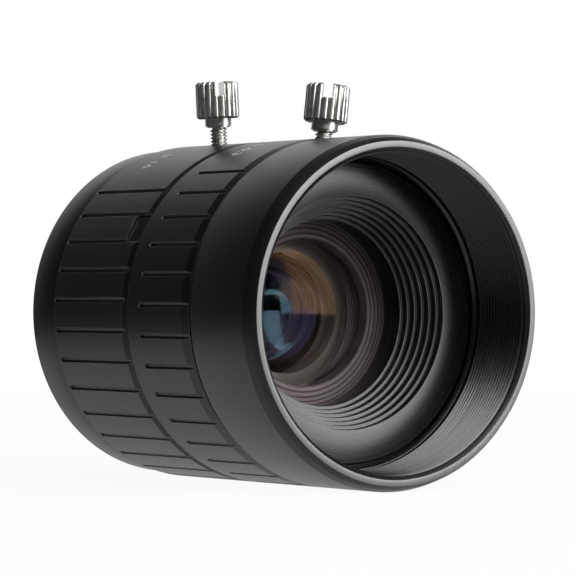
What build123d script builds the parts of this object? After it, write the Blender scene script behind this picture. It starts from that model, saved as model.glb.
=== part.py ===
"""Fixed focal length C-mount lens with a focus ring, an iris ring and a lock screw on each."""

from build123d import *
from math import cos, sin, radians, sqrt
import os

os.makedirs("parts", exist_ok=True)

# Lengths are millimetres. The optical axis is Y, the front looks towards -Y, and the lock
# screws point up, +Z. The origin is the middle of the face that seats on the camera.
# Angles round the axis are degrees from straight up, towards +X.

# Clearances
ring_gap = 0.12          # between the ends of two neighbouring rings
running_gap = 0.05       # radial, between a turning or sliding piece and its seat
pin_gap = 0.05           # round a pin or screw that moves in its hole or slot
front_gap = 0.15         # between the name ring and the end of the main barrel
edge_break = 0.2         # small chamfer on outer edges

# Camera mount
thread_radius = 12.7     # 1-32 UN thread
thread_length = 4.0
thread_chamfer = 0.5
stub_wall = 1.5          # from the crest of the thread to the bore
relief_depth = 0.75      # undercut at the root of the thread
relief_length = 0.7
face_relief_width = 0.25 # the undercut runs on into the seating face
face_relief_depth = 0.2
mount_wall = 2.1         # of the skirt, outside the main barrel
mount_length = 5.18
mount_web = 1.6          # thickness of the face that seats on the camera
mount_screw_count = 3
mount_screw_inset = 0.95 # from the outside of the main barrel
mount_screw_radius = 0.7
mount_screw_length = 5.0
mount_screw_head = 1.25
mount_screw_first = 60.0

# Rings
ring_wall = 2.5          # outside the main barrel
iris_ring_length = 15.73
focus_ring_length = 12.45
iris_bevel_length = 1.0
iris_bevel_height = 0.48
focus_bevel_length = 1.25
focus_bevel_height = 0.25

# Grip grooves
groove_count = 28
groove_tool = 0.3        # radius of the ball cutter
groove_depth = 0.24
iris_bare_angle = 42.1   # from the lock screw to the first groove on either side
focus_bare_angle = 43.3
groove_end = 0.62        # from the rear end of the iris ring to its grooves
focus_groove_end = 2.8
notch_length = 3.0
notch_depth = 0.55

# Hood
hood_length = 12.28
hood_bevel_length = 1.06
face_width = 0.8
mouth_chamfer = 0.52     # in front of the filter thread
filter_step = 0.03       # from the bevel of the lip to the crest of the M35.5 x 0.5 thread
lip_step = 0.2           # the lip stands in by this much from the nose of the main barrel
lip_length = 1.03        # from the nose to the bevel
lip_bevel = 0.35

# Main barrel
seat_radius = 17.0       # the rings turn on it
barrel_wall = 1.95
nose_step = 0.3          # the nose is screwed into the hood
nose_length = 1.98

# Thrust washers
washer_thickness = 0.5
washer_width = 1.0
washer_gap = 0.1

# Focus drive
focus_travel = 1.4
focus_turn = 100.0
cam_pin_count = 3
cam_pin_radius = 1.0
cam_pin_inset = 3.35     # in front of the rear end of the focus ring
cam_pin_first = 60.0
cam_pin_grip = 2.8       # length in the cell barrel
cam_depth = 1.1
cam_overrun = 4.0        # degrees that each cam groove runs on past the end positions of its pin
cam_steps = 12

# Cell barrel, with the radial width of each step inwards
cell_wall = 1.1          # round the name ring
name_seat_width = 2.0
front_seat_width = 1.9
cell_lip_width = 2.4
cell_lip_thickness = 1.0
cell_relief_gap = 3.0    # from the cam pins to the relief in front of them
cell_relief = 0.8
cell_relief_length = 6.0
chamber_wall = 1.8       # round the iris

# Name ring and ridged cone
name_ring_margin = 0.2   # from its edge to the lip of the hood
name_ring_thickness = 0.75
name_ring_bevel = 0.25
name_ring_wall = 0.88    # of its skirt, at the first ridge
step_count = 6
step_run = 0.42          # radial width of each ridge
step_rise = 0.79         # depth of each ridge
name_ring_depth = 7.9    # from its flat face to the front glass

# Front group, each element's edge thickness, flat rims and bulges (minus is hollow)
front_edge = 2.0
front_margin = 0.1       # from the bore of the name ring to the domed face
front_bulge = 2.3
front_rear_rim = 4.0
front_rear_bulge = -2.81
second_edge = 2.2
second_rim = 1.4
second_bulge = 1.4
second_rear_rim = 2.8
second_rear_bulge = -2.4
third_edge = 2.4
third_rim = 1.7
third_bulge = 1.6
third_rear_rim = 2.6
third_rear_bulge = 0.47
front_spacer_length = 1.7
middle_spacer_length = 1.4

# Iris
blade_count = 6
blade_thickness = 0.1
blade_pitch = 0.14
blade_root_inset = 0.25  # these insets are from the wall of the iris chamber
pivot_inset = 0.8
drive_inset = 1.3
blade_inset = 1.8
blade_width = 3.45
blade_reach = 95.0
blade_shoulder = 26.0
pivot_radius = 0.4
drive_angle = 17.0
blade_root_start = 2.0
blade_neck = 4.0
blade_tip = 6.0
blade_step = 5.0
tail_radius = 0.62
tail_turn = 223.0
pivot_pin_inset = 0.1    # pins stop short of the far face of their ring
blade_swing = 40.0
iris_turn = 45.0
window_margin = 4.0      # degrees of window past the end positions of the drive pin
base_ring_thickness = 0.5
iris_ring_gap = 0.06     # between the stacked pieces of the iris
drive_ring_thickness = 1.6
drive_ring_width = 4.85
drive_pin_radius = 0.5
drive_pin_grip = 1.6     # length in the drive ring
drive_pin_angle = 180.0
drive_slot_depth = 1.0
slot_points = 9

# Rear group
rear_cell_gap = 0.1
rear_flange_inset = 0.4  # from the outside of the cell barrel
rear_cell_flange_length = 0.8
rear_tube_gap = 1.0      # to the bore of the camera mount
rear_tube_wall = 2.2
rear_tube_margin = 0.35  # behind the retaining ring
rear_cell_thread = 5.9
rear_lip_width = 1.1
rear_lip_thickness = 0.65
fourth_edge = 3.7
fourth_margin = 0.1      # from the lip of the rear cell to the domed face
fourth_bulge = -1.2
cement_rim = 0.6
cement_bulge = 1.6
fifth_edge = 0.8
fifth_bulge = 1.5
rear_spacer_length = 2.8
sixth_edge = 1.4
sixth_bulge = 1.0
sixth_rear_bulge = 0.5
last_spacer_length = 1.4
seventh_edge = 1.6
seventh_rim = 1.0
seventh_bulge = 0.6
seventh_rear_rim = 1.4
seventh_rear_bulge = -0.4
spacer_wall = 0.8
retainer_length = 1.3
retainer_wall = 1.2

# Lock screws, two alike
lock_screw_radius = 1.0
lock_screw_length = 3.6
lock_collar_radius = 1.55
lock_collar_length = 1.0
lock_head_radius = 2.5
lock_head_length = 4.25
lock_head_bevel = 0.25
knurl_count = 18
knurl_radius = 0.28
screw_slot_width = 1.1
screw_slot_depth = 1.65
plug_length = 0.75
iris_screw_angle = -2.88
iris_screw_inset = 6.6   # in front of the rear end of its ring
iris_screw_lift = 0.9    # the iris screw is slack by this much, the focus screw is tight
iris_slot_turn = -25.5
focus_screw_angle = 6.62
focus_screw_inset = 7.25
focus_slot_turn = -35.2

# Radii, outwards from the seat of the rings
mount_radius = seat_radius + mount_wall
mount_screw_circle = seat_radius - mount_screw_inset
barrel_radius = seat_radius + ring_wall
ring_bore = seat_radius + running_gap
washer_outer = seat_radius + washer_width
nose_radius = seat_radius + nose_step
lip_radius = nose_radius - lip_step
filter_radius = lip_radius + lip_bevel + filter_step
face_inner_radius = filter_radius + mouth_chamfer
face_radius = face_inner_radius + face_width

# Radii, inwards from the seat of the rings
barrel_bore = seat_radius - barrel_wall
cell_radius = barrel_bore - running_gap
cam_pin_root = cell_radius - cam_pin_grip
cell_wall_front = cell_radius - cell_wall
name_ring_radius = lip_radius - name_ring_margin
name_flat_inner = cell_wall_front - name_ring_wall
cone_bore = name_flat_inner - step_count * step_run
cell_bore_front = cell_wall_front - name_seat_width
cell_bore = cell_bore_front - front_seat_width
cell_lip = cell_bore - cell_lip_width
front_clear = cone_bore - front_margin
front_rear_clear = cell_bore_front - front_rear_rim
second_clear = cell_bore - second_rim
second_rear_clear = cell_bore - second_rear_rim
third_clear = cell_bore - third_rim
third_rear_clear = cell_bore - third_rear_rim
chamber_radius = cell_radius - chamber_wall
pivot_circle = chamber_radius - pivot_inset
drive_circle = chamber_radius - drive_inset
drive_pin_root = chamber_radius - drive_pin_grip
drive_outer = chamber_radius - running_gap
drive_ring_inner = drive_outer - drive_ring_width
blade_root_outer = chamber_radius - blade_root_inset
blade_outer = chamber_radius - blade_inset
blade_inner = blade_outer - blade_width

# Radii, inwards from the thread of the camera mount
relief_radius = thread_radius - relief_depth
mount_bore = thread_radius - stub_wall
rear_tube_radius = mount_bore - rear_tube_gap
rear_bore = rear_tube_radius - rear_tube_wall
rear_lip = rear_bore - rear_lip_width
fourth_clear = rear_lip - fourth_margin
cement_clear = rear_bore - cement_rim
spacer_bore = rear_bore - spacer_wall
seventh_clear = rear_bore - seventh_rim
seventh_rear_clear = rear_bore - seventh_rear_rim

# Where each piece ends along the axis
mount_front = -mount_length
iris_ring_rear = mount_front - ring_gap
iris_ring_front = iris_ring_rear - iris_ring_length
focus_ring_rear = iris_ring_front - ring_gap
focus_ring_front = focus_ring_rear - focus_ring_length
hood_rear = focus_ring_front - ring_gap
cam_pin_y = focus_ring_rear - cam_pin_inset
focus_screw_y = focus_ring_rear - focus_screw_inset
iris_screw_y = iris_ring_rear - iris_screw_inset
hood_front = hood_rear - hood_length
barrel_front = hood_rear - nose_length
mouth_end = barrel_front - lip_length - lip_bevel
name_rear = barrel_front - front_gap
name_front = name_rear - name_ring_thickness
front_seat = name_front + name_ring_depth
front_rest = front_seat + front_edge
second_front = front_rest + front_spacer_length
second_rear = second_front + second_edge
third_front = second_rear + middle_spacer_length
third_rear = third_front + third_edge
chamber_front = third_rear + cell_lip_thickness
base_rear = chamber_front + base_ring_thickness
stack_rear = base_rear + blade_count * blade_pitch
drive_front = stack_rear + iris_ring_gap
drive_rear = drive_front + drive_ring_thickness
drive_pin_y = (drive_front + drive_rear) / 2
rear_cell_front = drive_rear + rear_cell_gap
cell_rear = rear_cell_front + rear_cell_thread
fourth_front = rear_cell_front + rear_lip_thickness
fourth_rear = fourth_front + fourth_edge
fifth_rear = fourth_rear + fifth_edge
sixth_front = fifth_rear + rear_spacer_length
sixth_rear = sixth_front + sixth_edge
seventh_front = sixth_rear + last_spacer_length
seventh_rear = seventh_front + seventh_edge
retainer_rear = seventh_rear + retainer_length
rear_tube_end = retainer_rear + rear_tube_margin


def polar(radius, angle):
    """Point at a radius and an angle, in a cross-section seen from the front."""
    return (radius * sin(radians(angle)), radius * cos(radians(angle)))


def section(y):
    """Cross-section plane at y, which faces the front."""
    return Plane.XZ.offset(-y)


def radial_plane(angle, y, radius):
    """Plane that faces straight outwards, with its x along the lens axis."""
    x, z = polar(radius, angle)
    outward = (sin(radians(angle)), 0, cos(radians(angle)))
    return Plane(origin=(x, y, z), x_dir=(0, 1, 0), z_dir=outward)


def half_plane(angle):
    """Plane through the lens axis: x is the radius at this angle and y runs along the axis."""
    outward = (sin(radians(angle)), 0, cos(radians(angle)))
    across = (-cos(radians(angle)), 0, sin(radians(angle)))
    return Plane(origin=(0, 0, 0), x_dir=outward, z_dir=across)


def outline(*points):
    """Closed outline of (radius, y) points, to be turned about the lens axis."""
    with BuildSketch() as profile:
        with BuildLine():
            Polyline(*points, close=True)
        make_face()
    return profile.sketch


def ring_outline(inner, outer, front, rear):
    """Outline of a plain ring between two planes."""
    return outline((inner, front), (outer, front), (outer, rear), (inner, rear))


def dome(clear, height, edge):
    """Rim, middle and crown of a dome's arc, which rises by height from its edge plane."""
    sphere = (clear**2 + height**2) / (2 * abs(height))
    middle = clear / 2
    drop = sphere - sqrt(sphere**2 - middle**2)
    if height < 0:
        drop = -drop
    return ((clear, edge), (middle, edge + height - drop), (0, edge + height))


def lens_outline(outer, front, rear, front_dome, rear_dome):
    """Half section of a glass element; each dome is its clear radius and its bulge."""
    front_clear_radius, front_rise = front_dome
    rear_clear_radius, rear_rise = rear_dome
    front_arc = dome(front_clear_radius, -front_rise, front)
    rear_arc = dome(rear_clear_radius, rear_rise, rear)
    with BuildSketch() as profile:
        with BuildLine():
            ThreePointArc(*front_arc)
            Line(front_arc[-1], rear_arc[-1])
            ThreePointArc(*rear_arc)
            Polyline(rear_arc[0], (outer, rear), (outer, front), front_arc[0])
        make_face()
    return profile.sketch


def groove_centres(screw_angle, bare_angle):
    """Angles of the grip grooves, spread over the ring outside the bare stretch at the screw."""
    spread = 360 - 2 * bare_angle
    first = screw_angle + bare_angle
    return [first + spread * index / (groove_count - 1) for index in range(groove_count)]


def groove_places(angles):
    """Places of the ball cutter round a ring, each turned to face outwards."""
    radius = barrel_radius + groove_tool - groove_depth
    places = []
    for angle in angles:
        x, z = polar(radius, angle)
        places.append(Location((x, 0, z), (0, angle, 0)))
    return places


def groove_cutter(front, rear):
    """Space that the ball cutter sweeps along one grip groove, before it is put in place."""
    with BuildPart() as cutter:
        with BuildSketch():
            with BuildLine():
                Polyline((groove_tool, rear), (groove_tool, front), (0, front), (0, rear + groove_tool))
                RadiusArc((0, rear + groove_tool), (groove_tool, rear), groove_tool)
            make_face()
        revolve(axis=Axis.Y)
    return cutter.part


# Camera mount: skirt, seating face and threaded stub in one turned piece
with BuildPart() as camera_mount:
    with BuildSketch():
        with BuildLine():
            Polyline(
                (seat_radius, mount_front),
                (mount_radius - edge_break, mount_front),
                (mount_radius, mount_front + edge_break),
                (mount_radius, -edge_break),
                (mount_radius - edge_break, 0),
                (thread_radius + face_relief_width, 0),
                (thread_radius + face_relief_width, -face_relief_depth),
                (relief_radius, -face_relief_depth),
                (relief_radius, relief_length),
                (thread_radius, relief_length),
                (thread_radius, thread_length - thread_chamfer),
                (thread_radius - thread_chamfer, thread_length),
                (mount_bore, thread_length),
                (mount_bore, -mount_web),
                (seat_radius, -mount_web),
                close=True,
            )
        make_face()
    revolve(axis=Axis.Y)
    with BuildSketch(section(0)):
        with PolarLocations(mount_screw_circle, mount_screw_count, mount_screw_first):
            Circle(mount_screw_radius)
    extrude(amount=mount_web, mode=Mode.SUBTRACT)
    with BuildSketch(section(0)):
        with PolarLocations(mount_screw_circle, mount_screw_count, mount_screw_first):
            Circle(mount_screw_head)
    extrude(amount=mount_screw_head - mount_screw_radius, taper=45, mode=Mode.SUBTRACT)
camera_mount.part.label = "camera_mount"
export_step(camera_mount.part, "parts/camera_mount.step")

# Three countersunk screws that hold the mount on the main barrel
with BuildPart() as mount_screws:
    with BuildSketch(section(0)):
        with PolarLocations(mount_screw_circle, mount_screw_count, mount_screw_first):
            Circle(mount_screw_radius)
    extrude(amount=mount_screw_length)
    with BuildSketch(section(0)):
        with PolarLocations(mount_screw_circle, mount_screw_count, mount_screw_first):
            Circle(mount_screw_head)
    extrude(amount=mount_screw_head - mount_screw_radius, taper=45)
mount_screws.part.label = "mount_screws"
export_step(mount_screws.part, "parts/mount_screws.step")

# Main barrel: fixed tube that the rings turn on and the cell slides in
cam_angles = [cam_pin_first + 360 * index / cam_pin_count for index in range(cam_pin_count)]
window_half = drive_pin_radius + pin_gap
with BuildPart() as main_barrel:
    with BuildSketch():
        with BuildLine():
            Polyline(
                (barrel_bore, barrel_front),
                (nose_radius - edge_break, barrel_front),
                (nose_radius, barrel_front + edge_break),
                (nose_radius, hood_rear),
                (seat_radius, hood_rear),
                (seat_radius, -mount_web),
                (barrel_bore, -mount_web),
                close=True,
            )
        make_face()
    revolve(axis=Axis.Y)
    with BuildSketch(section(-mount_web)):
        with PolarLocations(mount_screw_circle, mount_screw_count, mount_screw_first):
            Circle(mount_screw_radius)
    extrude(amount=mount_screw_length - mount_web, mode=Mode.SUBTRACT)
    for angle in cam_angles:
        slot_middle = radial_plane(angle, cam_pin_y - focus_travel / 2, cell_radius)
        with BuildSketch(slot_middle):
            SlotCenterToCenter(focus_travel, 2 * (cam_pin_radius + pin_gap))
        extrude(amount=seat_radius, mode=Mode.SUBTRACT)
    with BuildSketch(half_plane(drive_pin_angle - iris_turn - window_margin)):
        with Locations(((barrel_bore + seat_radius) / 2, drive_pin_y - focus_travel / 2)):
            Rectangle(2 * (seat_radius - barrel_bore), focus_travel + 2 * window_half)
    revolve(axis=Axis.Y, revolution_arc=iris_turn + 2 * window_margin, mode=Mode.SUBTRACT)
main_barrel.part.label = "main_barrel"
export_step(main_barrel.part, "parts/main_barrel.step")

# Front hood with the filter thread, screwed on the nose of the main barrel
with BuildPart() as front_hood:
    with BuildSketch():
        with BuildLine():
            Polyline(
                (face_inner_radius, hood_front),
                (face_radius, hood_front),
                (barrel_radius, hood_front + hood_bevel_length),
                (barrel_radius, hood_rear - edge_break),
                (barrel_radius - edge_break, hood_rear),
                (nose_radius, hood_rear),
                (nose_radius, barrel_front),
                (lip_radius, barrel_front),
                (lip_radius, mouth_end + lip_bevel),
                (lip_radius + lip_bevel, mouth_end),
                (filter_radius, mouth_end),
                (filter_radius, hood_front + face_inner_radius - filter_radius),
                close=True,
            )
        make_face()
    revolve(axis=Axis.Y)
front_hood.part.label = "front_hood"
export_step(front_hood.part, "parts/front_hood.step")

# Focus ring: turns on the main barrel, with three helical cam grooves in its bore
focus_grooves = groove_centres(focus_screw_angle, focus_bare_angle)
focus_cutter = groove_cutter(focus_ring_front - groove_tool, focus_ring_rear - focus_groove_end)
with BuildPart() as focus_ring:
    with BuildSketch():
        with BuildLine():
            Polyline(
                (washer_outer + running_gap, focus_ring_front),
                (barrel_radius - focus_bevel_height, focus_ring_front),
                (barrel_radius, focus_ring_front + focus_bevel_length),
                (barrel_radius, focus_ring_rear - edge_break),
                (barrel_radius - edge_break, focus_ring_rear),
                (ring_bore, focus_ring_rear),
                (ring_bore, hood_rear + washer_thickness + washer_gap),
                (washer_outer + running_gap, hood_rear + washer_thickness + washer_gap),
                close=True,
            )
        make_face()
    revolve(axis=Axis.Y)
    with BuildSketch(radial_plane(focus_screw_angle, focus_screw_y, seat_radius)):
        Circle(lock_screw_radius + pin_gap)
    extrude(amount=barrel_radius, mode=Mode.SUBTRACT)
    for start in cam_angles:
        for step in range(cam_steps + 1):
            turn = (focus_turn + 2 * cam_overrun) * step / cam_steps - cam_overrun
            with BuildSketch(half_plane(start + turn)):
                with Locations((ring_bore, cam_pin_y - focus_travel * turn / focus_turn)):
                    Rectangle(2 * cam_depth, 2 * (cam_pin_radius + pin_gap))
        loft(mode=Mode.SUBTRACT)
    with Locations(*groove_places(focus_grooves)):
        add(focus_cutter, mode=Mode.SUBTRACT)
focus_ring.part.label = "focus_ring"
export_step(focus_ring.part, "parts/focus_ring.step")

# Iris ring: turns on the main barrel, with an axial slot for the drive pin in its bore
iris_grooves = groove_centres(iris_screw_angle, iris_bare_angle)
iris_cutter = groove_cutter(iris_ring_front - groove_tool, iris_ring_rear - groove_end)
with BuildPart() as iris_ring:
    with BuildSketch():
        with BuildLine():
            Polyline(
                (ring_bore, iris_ring_front),
                (barrel_radius - iris_bevel_height, iris_ring_front),
                (barrel_radius, iris_ring_front + iris_bevel_length),
                (barrel_radius, iris_ring_rear - edge_break),
                (barrel_radius - edge_break, iris_ring_rear),
                (washer_outer + running_gap, iris_ring_rear),
                (washer_outer + running_gap, mount_front - washer_thickness - washer_gap),
                (ring_bore, mount_front - washer_thickness - washer_gap),
                close=True,
            )
        make_face()
    revolve(axis=Axis.Y)
    with BuildSketch(radial_plane(iris_screw_angle, iris_screw_y, seat_radius)):
        Circle(lock_screw_radius + pin_gap)
    extrude(amount=barrel_radius, mode=Mode.SUBTRACT)
    pin_slot_rear = drive_pin_y + window_half
    pin_slot_length = pin_slot_rear - iris_ring_front
    with BuildSketch(radial_plane(drive_pin_angle, iris_ring_front + pin_slot_length / 2, barrel_bore)):
        Rectangle(pin_slot_length, 2 * window_half)
    extrude(amount=ring_bore + drive_slot_depth - barrel_bore, mode=Mode.SUBTRACT)
    notch_left, notch_right = iris_grooves[-3], iris_grooves[-2]
    notch_angle = (notch_left + notch_right) / 2
    notch_width = 2 * barrel_radius * sin(radians(notch_right - notch_left) / 2)
    notch_place = radial_plane(notch_angle, iris_ring_front + notch_length / 2, barrel_radius - notch_depth)
    with BuildSketch(notch_place):
        Rectangle(notch_length, notch_width)
    extrude(amount=notch_width, mode=Mode.SUBTRACT)
    with Locations(*groove_places(iris_grooves)):
        add(iris_cutter, mode=Mode.SUBTRACT)
iris_ring.part.label = "iris_ring"
export_step(iris_ring.part, "parts/iris_ring.step")

# Thrust washers that the rings run against
with BuildPart() as focus_thrust_washer:
    focus_washer_rear = hood_rear + washer_thickness
    revolve(ring_outline(ring_bore, washer_outer, hood_rear, focus_washer_rear), axis=Axis.Y)
focus_thrust_washer.part.label = "focus_thrust_washer"
export_step(focus_thrust_washer.part, "parts/focus_thrust_washer.step")

with BuildPart() as iris_thrust_washer:
    iris_washer_front = mount_front - washer_thickness
    revolve(ring_outline(ring_bore, washer_outer, iris_washer_front, mount_front), axis=Axis.Y)
iris_thrust_washer.part.label = "iris_thrust_washer"
export_step(iris_thrust_washer.part, "parts/iris_thrust_washer.step")

# Name ring: flat face, ridged cone and the bore in front of the glass
ridge_points = [(name_flat_inner, name_front)]
for step in range(step_count):
    ridge_radius = name_flat_inner - step_run * step
    ridge_y = name_front + step_rise * (step + 1)
    ridge_points.append((ridge_radius, ridge_y))
    ridge_points.append((ridge_radius - step_run, ridge_y))
with BuildPart() as name_ring:
    with BuildSketch():
        with BuildLine():
            Polyline(
                (cell_wall_front, name_rear),
                (name_ring_radius, name_rear),
                (name_ring_radius, name_front + name_ring_bevel),
                (name_ring_radius - name_ring_bevel, name_front),
                *ridge_points,
                (ridge_points[-1][0], front_seat),
                (cell_wall_front, front_seat),
                close=True,
            )
        make_face()
    revolve(axis=Axis.Y)
name_ring.part.label = "name_ring"
export_step(name_ring.part, "parts/name_ring.step")

# Cell barrel: slides in the main barrel and carries the glass, the iris and the cam pins
with BuildPart() as cell_barrel:
    with BuildSketch():
        with BuildLine():
            relief_rear = cam_pin_y - cell_relief_gap
            relief_front = relief_rear - cell_relief_length
            Polyline(
                (cell_wall_front, name_rear),
                (cell_radius, name_rear),
                (cell_radius, relief_front),
                (cell_radius - cell_relief, relief_front),
                (cell_radius - cell_relief, relief_rear),
                (cell_radius, relief_rear),
                (cell_radius, cell_rear),
                (chamber_radius, cell_rear),
                (chamber_radius, chamber_front),
                (cell_lip, chamber_front),
                (cell_lip, third_rear),
                (cell_bore, third_rear),
                (cell_bore, front_rest),
                (cell_bore_front, front_rest),
                (cell_bore_front, front_seat),
                (cell_wall_front, front_seat),
                close=True,
            )
        make_face()
    revolve(axis=Axis.Y)
    for angle in cam_angles:
        with BuildSketch(radial_plane(angle, cam_pin_y, cam_pin_root)):
            Circle(cam_pin_radius)
        extrude(amount=cell_radius, mode=Mode.SUBTRACT)
    with BuildSketch(half_plane(drive_pin_angle - iris_turn - window_margin)):
        with Locations(((chamber_radius + cell_radius) / 2, drive_pin_y)):
            Rectangle(2 * (cell_radius - chamber_radius), 2 * window_half)
    revolve(axis=Axis.Y, revolution_arc=iris_turn + 2 * window_margin, mode=Mode.SUBTRACT)
cell_barrel.part.label = "cell_barrel"
export_step(cell_barrel.part, "parts/cell_barrel.step")

# Cam pins: screwed into the cell barrel, through the slots, into the cam grooves
with BuildPart() as focus_cam_pins:
    cam_pin_tip = ring_bore + cam_depth - running_gap
    for angle in cam_angles:
        with BuildSketch(radial_plane(angle, cam_pin_y, cam_pin_root)):
            Circle(cam_pin_radius)
        extrude(amount=cam_pin_tip - cam_pin_root)
focus_cam_pins.part.label = "focus_cam_pins"
export_step(focus_cam_pins.part, "parts/focus_cam_pins.step")

# Front group
with BuildPart() as front_element:
    front_side = (front_clear, front_bulge)
    rear_side = (front_rear_clear, front_rear_bulge)
    revolve(lens_outline(cell_bore_front, front_seat, front_rest, front_side, rear_side), axis=Axis.Y)
front_element.part.label = "front_element"
export_step(front_element.part, "parts/front_element.step")

with BuildPart() as front_spacer:
    revolve(ring_outline(second_clear, cell_bore, front_rest, second_front), axis=Axis.Y)
front_spacer.part.label = "front_spacer"
export_step(front_spacer.part, "parts/front_spacer.step")

with BuildPart() as second_element:
    front_side = (second_clear, second_bulge)
    rear_side = (second_rear_clear, second_rear_bulge)
    revolve(lens_outline(cell_bore, second_front, second_rear, front_side, rear_side), axis=Axis.Y)
second_element.part.label = "second_element"
export_step(second_element.part, "parts/second_element.step")

with BuildPart() as middle_spacer:
    revolve(ring_outline(third_clear, cell_bore, second_rear, third_front), axis=Axis.Y)
middle_spacer.part.label = "middle_spacer"
export_step(middle_spacer.part, "parts/middle_spacer.step")

with BuildPart() as third_element:
    front_side = (third_clear, third_bulge)
    rear_side = (third_rear_clear, third_rear_bulge)
    revolve(lens_outline(cell_bore, third_front, third_rear, front_side, rear_side), axis=Axis.Y)
third_element.part.label = "third_element"
export_step(third_element.part, "parts/third_element.step")

# Iris base ring, with the holes that the blades pivot in
blade_angles = [360 * index / blade_count for index in range(blade_count)]
with BuildPart() as iris_base_ring:
    revolve(ring_outline(cell_lip, chamber_radius, chamber_front, base_rear), axis=Axis.Y)
    with BuildSketch(section(base_rear)):
        with Locations(*[polar(pivot_circle, angle) for angle in blade_angles]):
            Circle(pivot_radius + pin_gap)
    extrude(amount=base_ring_thickness, mode=Mode.SUBTRACT)
iris_base_ring.part.label = "iris_base_ring"
export_step(iris_base_ring.part, "parts/iris_base_ring.step")


def drive_point(share, blade_angle):
    """Place of a blade's drive pin, seen from the drive ring, at a share of the full turn.

    The blade swings about its pivot in proportion to the ring, so this curve is the slot.
    """
    pivot = Vector(*polar(pivot_circle, 0))
    arm = Vector(*polar(drive_circle, drive_angle)) - pivot
    tip = pivot + arm.rotate(Axis.Z, -blade_swing * share)
    return tuple(tip.rotate(Axis.Z, -iris_turn * share - blade_angle))[:2]


# Iris drive ring: turns on the stack of blades and drives each one by a curved slot
with BuildPart() as iris_drive_ring:
    revolve(ring_outline(drive_ring_inner, drive_outer, drive_front, drive_rear), axis=Axis.Y)
    for blade_angle in blade_angles:
        with BuildSketch(section(drive_rear)):
            with BuildLine():
                Spline(*[drive_point(index / (slot_points - 1), blade_angle) for index in range(slot_points)])
            trace(line_width=2 * (pivot_radius + pin_gap))
            with Locations(drive_point(0, blade_angle), drive_point(1, blade_angle)):
                Circle(pivot_radius + pin_gap)
        extrude(amount=drive_ring_thickness, mode=Mode.SUBTRACT)
    with BuildSketch(radial_plane(drive_pin_angle, drive_pin_y, drive_pin_root)):
        Circle(drive_pin_radius)
    extrude(amount=chamber_radius, mode=Mode.SUBTRACT)
iris_drive_ring.part.label = "iris_drive_ring"
export_step(iris_drive_ring.part, "parts/iris_drive_ring.step")

# Drive pin: from the drive ring out through both tubes into the iris ring
with BuildPart() as iris_drive_pin:
    drive_pin_tip = ring_bore + drive_slot_depth - running_gap
    with BuildSketch(radial_plane(drive_pin_angle, drive_pin_y, drive_pin_root)):
        Circle(drive_pin_radius)
    extrude(amount=drive_pin_tip - drive_pin_root)
iris_drive_pin.part.label = "iris_drive_pin"
export_step(iris_drive_pin.part, "parts/iris_drive_pin.step")

# Iris blades: one above the other, each with a pivot pin in front and a drive pin behind
pin_front = chamber_front + pivot_pin_inset
pin_rear = drive_rear - pivot_pin_inset
tail_centre = Vector(0, pivot_circle)
tail_side = tail_centre + Vector(-tail_radius, 0)
tail_low = tail_centre + Vector(*polar(tail_radius, tail_turn))
shoulder_top = blade_shoulder - blade_step
for index, blade_angle in enumerate(blade_angles):
    blade_front = base_rear + iris_ring_gap / 2 + index * blade_pitch
    blade_rear = blade_front + blade_thickness
    with BuildPart() as iris_blade:
        with BuildSketch(section(blade_rear)):
            with BuildLine():
                root_start = polar(blade_root_outer, blade_root_start)
                root_middle = polar(blade_root_outer, (blade_root_start + shoulder_top) / 2)
                root_end = polar(blade_root_outer, shoulder_top)
                outer_start = polar(blade_outer, blade_shoulder)
                outer_middle = polar(blade_outer, (blade_shoulder + blade_reach) / 2)
                outer_end = polar(blade_outer, blade_reach)
                tip = polar((blade_inner + blade_outer) / 2, blade_reach + blade_tip)
                inner_end = polar(blade_inner, blade_reach)
                inner_middle = polar(blade_inner, (blade_neck + blade_reach) / 2)
                inner_start = polar(blade_inner, blade_neck)
                ThreePointArc(root_start, root_middle, root_end)
                Line(root_end, outer_start)
                ThreePointArc(outer_start, outer_middle, outer_end)
                ThreePointArc(outer_end, tip, inner_end)
                ThreePointArc(inner_end, inner_middle, inner_start)
                Line(inner_start, tail_low)
                ThreePointArc(tail_low, tail_side, root_start)
            make_face()
        extrude(amount=blade_thickness)
        with BuildSketch(section(blade_front)):
            with Locations(polar(pivot_circle, 0)):
                Circle(pivot_radius)
        extrude(amount=blade_front - pin_front)
        with BuildSketch(section(pin_rear)):
            with Locations(polar(drive_circle, drive_angle)):
                Circle(pivot_radius)
        extrude(amount=pin_rear - blade_rear)
    blade = iris_blade.part.rotate(Axis.Y, blade_angle)
    blade.label = f"iris_blade_{index + 1}"
    export_step(blade, f"parts/iris_blade_{index + 1}.step")

# Rear cell: screwed into the cell barrel from behind, closes the iris and holds the rear group
with BuildPart() as rear_cell:
    with BuildSketch():
        with BuildLine():
            flange_rear = cell_rear + rear_cell_flange_length
            Polyline(
                (rear_lip, rear_cell_front),
                (chamber_radius, rear_cell_front),
                (chamber_radius, cell_rear),
                (cell_radius - rear_flange_inset, cell_rear),
                (cell_radius - rear_flange_inset, flange_rear),
                (rear_tube_radius, flange_rear),
                (rear_tube_radius, rear_tube_end - edge_break),
                (rear_tube_radius - edge_break, rear_tube_end),
                (rear_bore, rear_tube_end),
                (rear_bore, fourth_front),
                (rear_lip, fourth_front),
                close=True,
            )
        make_face()
    revolve(axis=Axis.Y)
rear_cell.part.label = "rear_cell"
export_step(rear_cell.part, "parts/rear_cell.step")

# Rear group
with BuildPart() as fourth_element:
    front_side = (fourth_clear, fourth_bulge)
    rear_side = (cement_clear, -cement_bulge)
    revolve(lens_outline(rear_bore, fourth_front, fourth_rear, front_side, rear_side), axis=Axis.Y)
fourth_element.part.label = "fourth_element"
export_step(fourth_element.part, "parts/fourth_element.step")

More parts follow.
